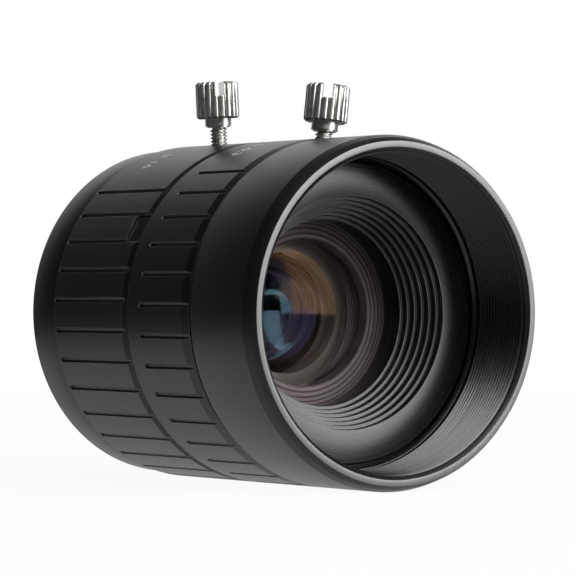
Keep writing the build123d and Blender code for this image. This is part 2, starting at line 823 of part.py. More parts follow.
with BuildPart() as fifth_element:
    front_side = (cement_clear, cement_bulge)
    rear_side = (spacer_bore, fifth_bulge)
    revolve(lens_outline(rear_bore, fourth_rear, fifth_rear, front_side, rear_side), axis=Axis.Y)
fifth_element.part.label = "fifth_element"
export_step(fifth_element.part, "parts/fifth_element.step")

with BuildPart() as rear_spacer:
    revolve(ring_outline(spacer_bore, rear_bore, fifth_rear, sixth_front), axis=Axis.Y)
rear_spacer.part.label = "rear_spacer"
export_step(rear_spacer.part, "parts/rear_spacer.step")

with BuildPart() as sixth_element:
    front_side = (spacer_bore, sixth_bulge)
    rear_side = (spacer_bore, sixth_rear_bulge)
    revolve(lens_outline(rear_bore, sixth_front, sixth_rear, front_side, rear_side), axis=Axis.Y)
sixth_element.part.label = "sixth_element"
export_step(sixth_element.part, "parts/sixth_element.step")

with BuildPart() as last_spacer:
    revolve(ring_outline(spacer_bore, rear_bore, sixth_rear, seventh_front), axis=Axis.Y)
last_spacer.part.label = "last_spacer"
export_step(last_spacer.part, "parts/last_spacer.step")

with BuildPart() as seventh_element:
    front_side = (seventh_clear, seventh_bulge)
    rear_side = (seventh_rear_clear, seventh_rear_bulge)
    revolve(lens_outline(rear_bore, seventh_front, seventh_rear, front_side, rear_side), axis=Axis.Y)
seventh_element.part.label = "seventh_element"
export_step(seventh_element.part, "parts/seventh_element.step")

with BuildPart() as rear_retaining_ring:
    revolve(ring_outline(rear_bore - retainer_wall, rear_bore, seventh_rear, retainer_rear), axis=Axis.Y)
rear_retaining_ring.part.label = "rear_retaining_ring"
export_step(rear_retaining_ring.part, "parts/rear_retaining_ring.step")

# Lock screws and the plugs under their tips; lift is how far a screw is turned out
lock_screws = [
    ("focus", focus_screw_angle, focus_screw_y, 0.0, focus_slot_turn),
    ("iris", iris_screw_angle, iris_screw_y, iris_screw_lift, iris_slot_turn),
]
for ring_name, angle, screw_y, lift, slot_turn in lock_screws:
    plug_bottom = seat_radius + running_gap + lift
    screw_tip = plug_bottom + plug_length
    collar_bottom = screw_tip + lock_screw_length - plug_length
    head_bottom = collar_bottom + lock_collar_length
    head_top = head_bottom + lock_head_length
    with BuildPart() as lock_plug:
        with BuildSketch(radial_plane(angle, screw_y, plug_bottom)):
            Circle(lock_screw_radius - pin_gap)
        extrude(amount=plug_length)
    lock_plug.part.label = f"{ring_name}_lock_plug"
    export_step(lock_plug.part, f"parts/{ring_name}_lock_plug.step")
    with BuildPart() as lock_screw:
        with BuildSketch(radial_plane(angle, screw_y, screw_tip)):
            Circle(lock_screw_radius)
        extrude(amount=collar_bottom - screw_tip)
        with BuildSketch(radial_plane(angle, screw_y, collar_bottom)):
            Circle(lock_collar_radius)
        extrude(amount=lock_collar_length)
        with BuildSketch(radial_plane(angle, screw_y, head_bottom)):
            Circle(lock_head_radius)
        extrude(amount=lock_head_length)
        outward = Axis((0, 0, 0), radial_plane(angle, screw_y, head_bottom).z_dir)
        rims = lock_screw.edges().filter_by(GeomType.CIRCLE).sort_by(outward)
        head_rims = [rim for rim in rims if abs(rim.radius - lock_head_radius) < edge_break]
        chamfer(head_rims, lock_head_bevel)
        with BuildSketch(radial_plane(angle, screw_y, head_bottom)):
            with PolarLocations(lock_head_radius, knurl_count):
                Circle(knurl_radius)
        extrude(amount=lock_head_length, mode=Mode.SUBTRACT)
        with BuildSketch(radial_plane(angle, screw_y, head_top)):
            Rectangle(3 * lock_head_radius, screw_slot_width, rotation=slot_turn)
        extrude(amount=-screw_slot_depth, mode=Mode.SUBTRACT)
    lock_screw.part.label = f"{ring_name}_lock_screw"
    export_step(lock_screw.part, f"parts/{ring_name}_lock_screw.step")
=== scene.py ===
import math

import bmesh
import bpy
from mathutils import Matrix, Vector


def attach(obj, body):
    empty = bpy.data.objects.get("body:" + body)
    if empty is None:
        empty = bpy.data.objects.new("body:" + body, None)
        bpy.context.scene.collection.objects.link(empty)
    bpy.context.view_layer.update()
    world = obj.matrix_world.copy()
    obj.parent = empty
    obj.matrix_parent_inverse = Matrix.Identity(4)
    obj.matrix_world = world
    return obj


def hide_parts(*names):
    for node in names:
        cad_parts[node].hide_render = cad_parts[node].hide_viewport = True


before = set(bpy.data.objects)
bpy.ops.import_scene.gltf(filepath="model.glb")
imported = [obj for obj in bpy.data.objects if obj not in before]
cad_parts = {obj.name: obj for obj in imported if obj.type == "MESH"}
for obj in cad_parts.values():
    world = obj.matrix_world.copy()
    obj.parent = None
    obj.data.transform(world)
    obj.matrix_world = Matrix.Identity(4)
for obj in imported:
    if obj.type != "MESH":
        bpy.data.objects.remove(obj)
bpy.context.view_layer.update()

# Camera mount
# The rear barrel is turned from aluminium bar and anodised black. Its stub carries the 1-32
# thread that screws into the camera, and three countersunk screws hold it on the main barrel.
MM = 0.001
grain_depth = 0.02 * MM


def made_node(tree, kind, inputs=None, **settings):
    """Adds a shader node; each input is a constant or the socket that feeds it."""
    made = tree.nodes.new(kind)
    for name, value in settings.items():
        setattr(made, name, value)
    for socket, value in (inputs or {}).items():
        if isinstance(value, bpy.types.NodeSocket):
            tree.links.new(value, made.inputs[socket])
        else:
            made.inputs[socket].default_value = value
    return made


def object_place(tree):
    return made_node(tree, "ShaderNodeTexCoord").outputs["Object"]


def noise(tree, place, scale, detail):
    inputs = {"Vector": place, "Scale": scale, "Detail": detail}
    return made_node(tree, "ShaderNodeTexNoise", inputs).outputs["Fac"]


def remapped(tree, value, low, high, to_low, to_high, **settings):
    inputs = {0: value, 1: low, 2: high, 3: to_low, 4: to_high}
    return made_node(tree, "ShaderNodeMapRange", inputs, **settings).outputs[0]


def computed(tree, operation, *values):
    inputs = dict(enumerate(values))
    return made_node(tree, "ShaderNodeMath", inputs, operation=operation).outputs[0]


def mixed(tree, factor, first, second):
    """Mixes two colours, each a triple or the socket that feeds it."""
    colours = [(*one, 1) if isinstance(one, tuple) else one for one in (first, second)]
    inputs = {"Factor": factor, 6: colours[0], 7: colours[1]}
    return made_node(tree, "ShaderNodeMix", inputs, data_type="RGBA").outputs[2]


def bumped(tree, strength, height, normal):
    inputs = {"Strength": strength, "Distance": grain_depth, "Height": height, "Normal": normal}
    return made_node(tree, "ShaderNodeBump", inputs).outputs[0]


def rounded_normal(tree, radius, samples):
    return made_node(tree, "ShaderNodeBevel", {"Radius": radius * MM}, samples=samples).outputs[0]


def new_material(name, roughness, metallic=0.0, specular=0.5):
    material = bpy.data.materials.new(name)
    material.use_nodes = True
    shader = material.node_tree.nodes["Principled BSDF"]
    shader.inputs["Roughness"].default_value = roughness
    shader.inputs["Metallic"].default_value = metallic
    shader.inputs["Specular IOR Level"].default_value = specular
    return material, material.node_tree, shader


def turning_place(tree):
    """Distance from the lens axis and place along it, so that a pattern runs round the axis."""
    place = object_place(tree)
    flat = made_node(tree, "ShaderNodeVectorMath", {0: place, 1: (1, 0, 1)}, operation="MULTIPLY")
    radius = made_node(tree, "ShaderNodeVectorMath", {0: flat.outputs[0]}, operation="LENGTH")
    along = made_node(tree, "ShaderNodeSeparateXYZ", {0: place}).outputs["Y"]
    both = made_node(tree, "ShaderNodeCombineXYZ", {"X": radius.outputs["Value"], "Y": along})
    return place, both.outputs[0]


def dust_specks(tree, place):
    """A mask of small round specks in a few of the cells of a fine pattern."""
    dusty_share = 0.025
    speck_size = 0.075
    cells = made_node(tree, "ShaderNodeTexVoronoi", {"Vector": place, "Scale": 1700})
    picked = made_node(tree, "ShaderNodeSeparateColor", {0: cells.outputs["Color"]}).outputs[0]
    rare = computed(tree, "GREATER_THAN", picked, 1 - dusty_share)
    small = computed(tree, "LESS_THAN", cells.outputs["Distance"], speck_size)
    return computed(tree, "MULTIPLY", rare, small)


def edge_wear_and_highlight(tree, cloud):
    """A mask of the sharp edges, partly where the finish is rubbed off in patches, partly a
    painted highlight along them.
    """
    wide = rounded_normal(tree, 0.1, 6)
    facing = made_node(tree, "ShaderNodeNewGeometry").outputs["Normal"]
    bent = made_node(tree, "ShaderNodeVectorMath", {0: wide, 1: facing}, operation="DOT_PRODUCT")
    rim = remapped(tree, bent.outputs["Value"], 0.995, 0.95, 0.0, 1.0)
    patchy = remapped(tree, cloud, 0.35, 0.6, 0.3, 1.0)
    return computed(tree, "MULTIPLY", rim, patchy)


def turned_finish(
    name, dark, light, roughness, lines=0.05, grain=0.04, dust=0.35, specular=0.5, edge=0.3
):
    """Anodised turned metal: faint clouding, lines round the axis, grain, dust, and edges
    lightened partly as wear, partly as a painted highlight.
    """
    material, tree, shader = new_material(name, roughness, 0.0, specular)
    place, around = turning_place(tree)
    cloud = noise(tree, place, 140, 4)
    clouded = mixed(tree, cloud, dark, light)
    dusty = mixed(tree, dust_specks(tree, place), clouded, (dust, dust, dust))
    # The edges take the edge tone: partly worn finish, partly a painted highlight along them
    wear_and_highlight = mixed(tree, edge_wear_and_highlight(tree, cloud), dusty, (edge, edge, edge))
    tree.links.new(wear_and_highlight, shader.inputs["Base Color"])
    cuts = noise(tree, around, 8000, 2)
    sheen = remapped(tree, cuts, 0.3, 0.7, roughness - 0.04, roughness + 0.06)
    tree.links.new(sheen, shader.inputs["Roughness"])
    etched = noise(tree, place, 9000, 1)
    grained = bumped(tree, grain, etched, rounded_normal(tree, 0.05, 4))
    tree.links.new(bumped(tree, lines, cuts, grained), shader.inputs["Normal"])
    return material


def new_object(name, mesh):
    made = bpy.data.objects.new(name, mesh)
    bpy.context.collection.objects.link(made)
    return made


def finished(shape, name, material, body, nodes=(), crease=20):
    """Makes the object: faces outwards, creases kept crisp, its body given and its material added.
    """
    bmesh.ops.recalc_face_normals(shape, faces=shape.faces[:])
    sharp = math.radians(crease)
    for edge in shape.edges:
        edge.smooth = not (len(edge.link_faces) == 2 and edge.calc_face_angle(0) > sharp)
    for face in shape.faces:
        face.smooth = True
    mesh = bpy.data.meshes.new(name)
    shape.to_mesh(mesh)
    shape.free()
    piece = new_object(name, mesh)
    mesh.materials.append(material)
    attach(piece, body)
    if nodes:
        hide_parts(*nodes)
    return piece


def turned(outline, rounding):
    """Turns a closed outline of (radius, place along the axis) in mm, with its corners rounded."""
    shape = bmesh.new()
    corners = [shape.verts.new((radius * MM, along * MM, 0)) for radius, along in outline]
    shape.faces.new(corners)
    bmesh.ops.bevel(
        shape, geom=corners, offset=rounding * MM, segments=3, profile=0.5,
        affect="VERTICES", clamp_overlap=True, material=-1,
    )
    bmesh.ops.delete(shape, geom=shape.faces[:], context="FACES_ONLY")
    bmesh.ops.spin(
        shape, geom=shape.verts[:] + shape.edges[:], cent=(0, 0, 0), axis=(0, 1, 0),
        angle=2 * math.pi, steps=192, use_merge=True,
    )
    bmesh.ops.remove_doubles(shape, verts=shape.verts[:], dist=1e-7)
    return shape


def thread_ridge(shape, root, crest, start, end, pitch, axis="Y", steps=72):
    """Adds a helical ridge between two places: a flat crest, its root sunk in the wall."""
    sinking = 0.06
    sunk = root + (sinking if root > crest else -sinking)
    outline = [(sunk, 0), (root, 0.06), (crest, 0.42), (crest, 0.54), (root, 0.9), (sunk, 0.96)]
    corners = []
    for radius, share in outline:
        along = (start + share * pitch) * MM
        point = (radius * MM, along, 0) if axis == "Y" else (radius * MM, 0, along)
        corners.append(shape.verts.new(point))
    face = shape.faces.new(corners)
    turns = (end - start) / pitch - 1
    direction = Vector((0, 1, 0)) if axis == "Y" else Vector((0, 0, 1))
    bmesh.ops.spin(
        shape, geom=[face] + face.verts[:] + face.edges[:], cent=(0, 0, 0), axis=direction,
        dvec=direction * pitch * MM / steps, angle=2 * math.pi * turns,
        steps=round(turns * steps), use_merge=False,
    )
    return shape


# Its edge tone is partly wear, partly a painted highlight along the edges
black_anodised = turned_finish(
    "black_anodised", (0.0035, 0.0035, 0.0038), (0.006, 0.006, 0.0063), 0.34, edge=0.16
)

camera_thread_root = 12.23
camera_thread_pitch = 25.4 / 32
seat_undercut = [(12.95, 0), (12.95, -0.2), (11.95, -0.2), (11.95, 0.7)]
stub_end = [(camera_thread_root, 0.7), (camera_thread_root, 3.97), (12.2, 4.0), (11.2, 4.0)]
mount = turned(
    [(17.0, -5.18), (19.1, -5.18), (19.1, 0)] + seat_undercut + stub_end
    + [(11.2, -1.6), (17.0, -1.6)],
    0.012,
)
mount = finished(
    mount, "camera_mount_turned", black_anodised, "barrel", ["camera_mount"]
)
ridge = thread_ridge(bmesh.new(), camera_thread_root, 12.69, 0.62, 3.92, camera_thread_pitch)
finished(
    ridge, "camera_mount_thread", black_anodised, "barrel", ["camera_mount"]
)


def cut_away(piece, cutter):
    """Cuts a closed shape out of a piece, as a slot or a recess."""
    mesh = bpy.data.meshes.new("cutter")
    cutter.to_mesh(mesh)
    cutter.free()
    tool = new_object("cutter", mesh)
    cut = piece.modifiers.new("cut", "BOOLEAN")
    cut.object = tool
    cut.solver = "EXACT"
    bpy.context.view_layer.update()
    depsgraph = bpy.context.evaluated_depsgraph_get()
    result = bpy.data.meshes.new_from_object(piece.evaluated_get(depsgraph))
    piece.modifiers.remove(cut)
    piece.data = result
    bpy.data.objects.remove(tool)
    bpy.data.meshes.remove(mesh)


def block(width, length, height):
    """A cutter with flat sides, centred on the origin, in mm."""
    shape = bmesh.new()
    bmesh.ops.create_cube(shape, size=1)
    bmesh.ops.scale(shape, verts=shape.verts[:], vec=(width * MM, length * MM, height * MM))
    return shape


def turn_about_z(shape, angle):
    matrix = Matrix.Rotation(math.radians(angle), 3, "Z")
    bmesh.ops.rotate(shape, verts=shape.verts[:], matrix=matrix)


def new_verts(made):
    return [part for part in made["geom"] if isinstance(part, bmesh.types.BMVert)]


def new_faces(made):
    return [part for part in made["geom"] if isinstance(part, bmesh.types.BMFace)]


def metal_finish(name, colour, roughness, grain=0.05, metallic=1.0):
    """Plain worked metal with soft changes of polish and a fine grain."""
    material, tree, shader = new_material(name, roughness, metallic)
    place = object_place(tree)
    cloud = noise(tree, place, 900, 3)
    darker = tuple(0.8 * part for part in colour)
    tree.links.new(mixed(tree, cloud, darker, colour), shader.inputs["Base Color"])
    polish = remapped(tree, cloud, 0.3, 0.7, roughness - 0.05, roughness + 0.07)
    tree.links.new(polish, shader.inputs["Roughness"])
    rounded = rounded_normal(tree, 0.04, 4)
    fine = noise(tree, place, 7000, 1)
    tree.links.new(bumped(tree, grain, fine, rounded), shader.inputs["Normal"])
    return material


black_steel = metal_finish("black_steel", (0.055, 0.055, 0.058), 0.36)
screw_circle = 16.05
screw_head_radius = 1.23
screw_head_depth = 0.55
screw_shank_length = 4.4

for number, angle in enumerate((60, 180, 300), 1):
    # Head, shank and cross recess of one screw, made upright and then laid along the axis
    shape = bmesh.new()
    bmesh.ops.create_circle(shape, cap_ends=True, radius=screw_head_radius * MM, segments=40)
    cone = bmesh.ops.extrude_face_region(shape, geom=shape.faces[:])
    bmesh.ops.translate(shape, verts=new_verts(cone), vec=(0, 0, -screw_head_depth * MM))
    bmesh.ops.scale(shape, verts=new_verts(cone), vec=(0.56, 0.56, 1))
    tip = new_faces(cone)
    shank = bmesh.ops.extrude_face_region(shape, geom=tip)
    bmesh.ops.delete(shape, geom=tip, context="FACES_ONLY")
    bmesh.ops.translate(shape, verts=new_verts(shank), vec=(0, 0, -screw_shank_length * MM))
    piece = finished(
        shape, "mount_screw_%d" % number, black_steel, "barrel", ["mount_screws"]
    )
    for turn in (0, 90):
        arm = block(1.45, 0.28, 0.9)
        turn_about_z(arm, turn)
        cut_away(piece, arm)
    x = screw_circle * math.sin(math.radians(angle))
    z = screw_circle * math.cos(math.radians(angle))
    laid = Matrix.Rotation(math.radians(-90), 4, "X")
    place = Matrix.Translation((x * MM, -0.02 * MM, z * MM)) @ laid
    piece.data.transform(place)
    sink = bmesh.new()
    bmesh.ops.create_cone(
        sink, cap_ends=True, segments=40, radius1=0.76 * MM, radius2=1.32 * MM, depth=0.64 * MM,
        matrix=place @ Matrix.Translation((0, 0, -0.27 * MM)),
    )
    cut_away(mount, sink)


# Main barrel
# Fixed tube that the two rings turn on, turned from aluminium and anodised, with three cam
# slots and the iris window. A thin brass washer takes the end thrust of each ring.
def dress(names, material):
    """Gives a material to CAD nodes that stay visible as they are."""
    for name in names:
        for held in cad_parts[name].material_slots:
            held.material = material


brass = metal_finish("brass", (0.72, 0.52, 0.26), 0.3)
dress(["main_barrel"], black_anodised)
dress(["focus_thrust_washer", "iris_thrust_washer"], brass)

# Front hood
# Smooth black tube screwed on the nose of the main barrel. Its front face is turned smooth and
# coloured lighter as a painted sheen. The filter thread runs down its mouth to a plain lip at
# the name ring; the mouth is coloured darker as painted shade.
barrel_radius = 19.5
hood_front = -46.0
mouth_radius = 17.78

hood_outside = [
    (18.12, hood_front), (18.78, hood_front), (19.2, -45.32), (barrel_radius, -44.28),
    (barrel_radius, -34.3), (19.1, -33.72),
]
hood_seat = [(17.3, -33.72), (17.3, -35.7), (17.1, -35.7), (17.1, -36.73)]
hood_mouth = [(17.4, -37.08), (mouth_radius, -37.08), (mouth_radius, -45.3), (17.7, -45.6)]
hood = turned(hood_outside + hood_seat + hood_mouth, 0.03)
thread_ridge(hood, 17.75, 17.49, -45.6, -37.1, 0.5, steps=96)
# Half a turn takes the start of the thread to the side that is seldom seen
bmesh.ops.rotate(hood, verts=hood.verts[:], matrix=Matrix.Rotation(math.pi, 3, "Y"))
hood = finished(
    hood, "front_hood_turned", black_anodised, "barrel", ["front_hood"]
)
# The front face: the same anodising coloured lighter, as a painted sheen
face_painted_sheen = turned_finish(
    "turned_face_painted_sheen", (0.06, 0.06, 0.062), (0.09, 0.09, 0.092), 0.3, lines=0.12, specular=1.0
)
# The inside of the mouth: the same anodising coloured darker, as painted shade, with few dust
# specks and edge marks
hood_inside_painted_shade = turned_finish(
    "hood_inside_painted_shade", (0.0018, 0.0018, 0.002), (0.003, 0.003, 0.0032), 0.28,
    dust=0.03, specular=0.6, edge=0.008,
)
hood.data.materials.append(face_painted_sheen)
hood.data.materials.append(hood_inside_painted_shade)
# Faces on the front take the painted sheen, faces in the mouth the painted shade
for face in hood.data.polygons:
    if face.center.y < (hood_front + 0.015) * MM and abs(face.normal.y) > 0.9:
        face.material_index = 1
    elif math.hypot(face.center.x, face.center.z) < (mouth_radius + 0.12) * MM:
        face.material_index = 2

# Focus ring
# Middle ring, turned and anodised, with ball-ended grip grooves milled along it. Small white
# numbers are engraved and filled beside the lock screw.
dress(["focus_ring"], black_anodised)


def number_paint(name):
    """White filler paint, thin and slightly worn."""
    material, tree, shader = new_material(name, 0.6)
    wear_and_highlight = noise(tree, object_place(tree), 5000, 2)
    tree.links.new(remapped(tree, wear_and_highlight, 0.3, 0.7, 0.5, 0.85), shader.inputs["Base Color"])
    return material


white_filler = number_paint("white_filler")
number_size = 2.0
number_radius = barrel_radius + 0.015


def dial_number(words, name, angle, along, body):
    """A number wrapped on the outside of a ring, to be read from behind with the front away."""
    curve = bpy.data.curves.new(name, "FONT")
    curve.body = words
    curve.size = number_size * MM
    curve.align_x = "CENTER"
    curve.align_y = "CENTER"
    curve.resolution_u = 3
    curve.offset = 0.03 * MM
    flat = new_object(name + "_flat", curve)
    bpy.context.view_layer.update()
    depsgraph = bpy.context.evaluated_depsgraph_get()
    mesh = bpy.data.meshes.new_from_object(flat.evaluated_get(depsgraph))
    bpy.data.objects.remove(flat)
    bpy.data.curves.remove(curve)
    for vertex in mesh.vertices:
        turn = math.radians(angle) - vertex.co.x / (barrel_radius * MM)
        x = number_radius * MM * math.sin(turn)
        z = number_radius * MM * math.cos(turn)
        vertex.co = (x, along * MM - vertex.co.y, z)
    mesh.name = name
    mesh.materials.clear()
    mesh.materials.append(white_filler)
    piece = new_object(name, mesh)
    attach(piece, body)


for words, angle in (("0.3", -22.0), ("0.5", -12.5), ("1", 16.0), ("3", 23.0)):
    dial_number(words, "focus_number_" + words, angle, -25.9, "focus_ring")

# Iris ring
# Rear ring, made as the focus ring is, with longer grooves and a shallow notch milled in its
# front edge.
dress(["iris_ring"], black_anodised)
for words, angle in (("16", -29.0), ("8", -22.0), ("4", 11.0), ("2", 17.0), ("1", 23.0)):
    dial_number(words, "iris_number_" + words, angle, -10.3, "iris_ring")

# Lock screws
# Two nickel-plated thumb screws with a fluted, slotted head and a collar. Their thread goes
# through the ring and presses a small brass plug on the main barrel.
bright_nickel = metal_finish("bright_nickel", (0.68, 0.67, 0.65), 0.3, grain=0.08, metallic=0.92)
dress(["focus_lock_plug", "iris_lock_plug"], brass)

rib_count = 18
head_bottom = 21.65
head_top = 25.9
head_chamfer = 0.22
head_narrowing = 0.9
slot_width = 1.1
slot_depth = 1.65
thread_root = 0.78
thread_pitch = 0.4
thread_start, thread_end = 17.85, 20.65
# Radius, bottom and top of the shank, its undercut shoulder and the collar
screw_lengths = ((thread_root, 17.81, 20.8), (1.35, 20.62, 20.8), (1.55, 20.78, 21.7))


def fluted_head(shape, bottom, top):
    """Head with rounded ribs and narrow gaps between them, chamfered at both ends."""
    outline = bmesh.ops.create_circle(shape, cap_ends=True, radius=2.5 * MM, segments=180)["verts"]
    pitch = 360 / rib_count
    for vertex in outline:
        around = math.degrees(math.atan2(vertex.co.y, vertex.co.x))
        share = abs((around % pitch) / (pitch / 2) - 1)
        vertex.co *= 1 - 0.13 * share ** 3.2
    bmesh.ops.scale(shape, verts=outline, vec=(head_narrowing, head_narrowing, 1))
    bmesh.ops.translate(shape, verts=outline, vec=(0, 0, bottom * MM))
    end = outline[0].link_faces[0]
    steps = (
        (head_chamfer, 1 / head_narrowing),
        (top - bottom - 2 * head_chamfer, 1),
        (head_chamfer, head_narrowing),
    )
    for number, (rise, grow) in enumerate(steps):
        made = bmesh.ops.extrude_face_region(shape, geom=[end])
        if number:
            bmesh.ops.delete(shape, geom=[end], context="FACES_ONLY")
        bmesh.ops.translate(shape, verts=new_verts(made), vec=(0, 0, rise * MM))
        bmesh.ops.scale(shape, verts=new_verts(made), vec=(grow, grow, 1))
        end = new_faces(made)[0]


def round_step(shape, radius, bottom, top):
    """Plain round length of a screw."""
    bmesh.ops.create_cone(
        shape, cap_ends=True, segments=48, radius1=radius * MM, radius2=radius * MM,
        depth=(top - bottom) * MM, matrix=Matrix.Translation((0, 0, (top + bottom) / 2 * MM)),
    )


for name, body, angle, along, lift, slot_turn in (
    ("focus_lock_screw", "focus_screw", 6.62, -28.4, 0.0, -35.2),
    ("iris_lock_screw", "iris_screw", -2.88, -11.9, 0.9, -25.5),
):
    head = bmesh.new()
    fluted_head(head, head_bottom + lift, head_top + lift)
    piece = finished(head, name + "_head", bright_nickel, body, [name], crease=35)
    slot_height = 4
    slot = block(6, slot_width, slot_height)
    middle = head_top + lift - slot_depth + slot_height / 2
    bmesh.ops.translate(slot, verts=slot.verts[:], vec=(0, 0, middle * MM))
    turn_about_z(slot, 90 + slot_turn)
    cut_away(piece, slot)
    shank = bmesh.new()
    for radius, bottom, top in screw_lengths:
        round_step(shank, radius, bottom + lift, top + lift)
    start, end = thread_start + lift, thread_end + lift
    thread_ridge(shank, thread_root, 1.0, start, end, thread_pitch, axis="Z", steps=32)
    shank = finished(shank, name + "_shank", bright_nickel, body, [name])
    tilted = Matrix.Rotation(math.radians(angle), 4, "Y")
    place = Matrix.Translation((0, along * MM, 0)) @ tilted
    piece.data.transform(place)
    shank.data.transform(place)

# Cell barrel
# Sliding tube that carries all the glass, anodised dull black inside against stray light.
# Three steel cam pins follow the grooves of the focus ring.
inner_black = turned_finish(
    "inner_black", (0.004, 0.004, 0.0042), (0.007, 0.007, 0.0072), 0.5,
    lines=0.15, dust=0.01, specular=0.4,
)
dress(["cell_barrel"], inner_black)
dress(["focus_cam_pins"], metal_finish("ground_steel", (0.5, 0.5, 0.5), 0.3))

# Name ring
# Dull black ring screwed into the cell, with a bare flat rim and six turned steps that lead
# down to the front glass and break up stray reflections.
matt_black = turned_finish(
    "matt_black", (0.004, 0.004, 0.0043), (0.007, 0.007, 0.0073), 0.28,
    lines=0.1, dust=0.2, specular=0.6,
)
flat_rim = -36.6
step_radius = 13.02
step_run = 0.42
step_rise = 0.79
name_ring_outside = [
    (16.65, flat_rim), (16.9, -36.35), (16.9, -35.85), (13.9, -35.85), (13.9, -28.7),
    (10.5, -28.7), (10.5, -31.86),
]
steps_down = []
for step in range(6):
    outer = step_radius - step_run * step
    depth = flat_rim + step_rise * step
    steps_down += [(outer, depth), (outer - 0.1, depth + step_rise)]
ring = turned(name_ring_outside + steps_down[::-1], 0.03)
finished(ring, "name_ring_turned", matt_black, "cell", ["name_ring"])


# Front group
# Three ground and polished glass elements, each coated on both sides, with a thin black
# spacer ring between each two.
def coated_glass(name, film, strength):
    """Polished optical glass; its coating, in nanometres, tints what it reflects."""
    material, tree, shader = new_material(name, 0.0)
    shader.inputs["Transmission Weight"].default_value = 1
    shader.inputs["IOR"].default_value = 1.62
    shader.inputs["Thin Film Thickness"].default_value = film
    shader.inputs["Thin Film IOR"].default_value = 1.38
    shader.inputs["Specular Tint"].default_value = (strength, strength, strength, 1)
    haze = noise(tree, object_place(tree), 300, 3)
    tree.links.new(remapped(tree, haze, 0.4, 0.8, 0.0, 0.03), shader.inputs["Roughness"])
    clear = mixed(tree, haze, (0.99, 0.99, 0.99), (0.97, 0.97, 0.96))
    tree.links.new(clear, shader.inputs["Base Color"])
    return material


def half_profile(shape, facing, edge, dome):
    """Draws the arc of one dome from the axis to its rim, and gives the vertex at the rim."""
    clear, rise = dome
    sphere = (clear * clear + rise * rise) / (2 * abs(rise))
    side = facing * math.copysign(1, rise)
    crown = edge + facing * rise
    start = shape.verts.new((0, crown * MM, 0))
    arc = bmesh.ops.spin(
        shape, geom=[start], cent=(0, (crown - side * sphere) * MM, 0), axis=(0, 0, 1),
        angle=-side * math.asin(clear / sphere), steps=14,
    )
    return [part for part in arc["geom_last"] if isinstance(part, bmesh.types.BMVert)][0]


def ground_element(
    name, outer, front, rear, front_dome, rear_dome, material, rim=None, rear_coat=None
):
    """Glass element; a dome is its clear radius and its bulge, negative where it is hollow."""
    off_seat = 0.01
    chamfer = 0.1
    outer, front, rear = outer - off_seat, front + off_seat, rear - off_seat
    domes = ((-1, front, front_dome), (1, rear, rear_dome))
    shape = bmesh.new()
    front_rim, rear_rim = [half_profile(shape, *dome) for dome in domes]
    edge_front, edge_rear, front_flat, rear_flat = (
        shape.verts.new((radius * MM, place * MM, 0))
        for radius, place in (
            (outer, front + chamfer), (outer, rear - chamfer),
            (outer - chamfer, front), (outer - chamfer, rear),
        )
    )
    outline = (front_rim, front_flat, edge_front, edge_rear, rear_flat, rear_rim)
    for ends in zip(outline, outline[1:]):
        shape.edges.new(ends)
    bmesh.ops.spin(
        shape, geom=shape.verts[:] + shape.edges[:], cent=(0, 0, 0), axis=(0, 1, 0),
        angle=2 * math.pi, steps=128, use_merge=True,
    )
    bmesh.ops.remove_doubles(shape, verts=shape.verts[:], dist=2e-6)
    piece = finished(shape, name + "_ground", material, "cell", [name], crease=25)
    # The edge and the ground rims beside the domes are inked, so that no light gets in there
    piece.data.materials.append(rim or edge_ink)
    piece.data.materials.append(rear_coat or material)
    for face in piece.data.polygons:
        away = math.hypot(face.center.x, face.center.z)
        to_front, to_rear = (
            abs(face.center.y - edge * MM - facing * rise * MM * (1 - (away / clear / MM) ** 2))
            for facing, edge, (clear, rise) in domes
        )
        in_front = to_front < to_rear
        clear = front_dome[0] if in_front else rear_dome[0]
        on_rim = away > (clear + 0.01) * MM
        face.material_index = 1 if on_rim else 0 if in_front else 2


def rim_painted_ring_reflection(name):
    """Rim coloured in fine mauve and dark rings, with a bump for them: a painted reflection of the
    name ring's steps in the front glass.
    """
    material, tree, shader = new_material(name, 0.5)
    ring_pitch = 0.62 * MM
    around = turning_place(tree)[1]
    radius = made_node(tree, "ShaderNodeSeparateXYZ", {0: around}).outputs["X"]
    wave = computed(tree, "SINE", computed(tree, "MULTIPLY", radius, 2 * math.pi / ring_pitch))
    crest = remapped(tree, wave, -0.9, 0.3, 0.0, 1.0)
    # Mauve rings between dark ones, painted as the reflection of the name ring's steps
    tone = mixed(tree, crest, (0.05, 0.04, 0.045), (0.34, 0.27, 0.3))
    tree.links.new(tone, shader.inputs["Base Color"])
    inputs = {"Strength": 0.3, "Distance": 0.05 * MM, "Height": crest}
    bump = made_node(tree, "ShaderNodeBump", inputs)
    tree.links.new(bump.outputs[0], shader.inputs["Normal"])
    return material


edge_ink = turned_finish(
    "edge_ink", (0.004, 0.004, 0.0045), (0.007, 0.007, 0.0075), 0.6,
    lines=0.05, dust=0.02, specular=0.2,
)
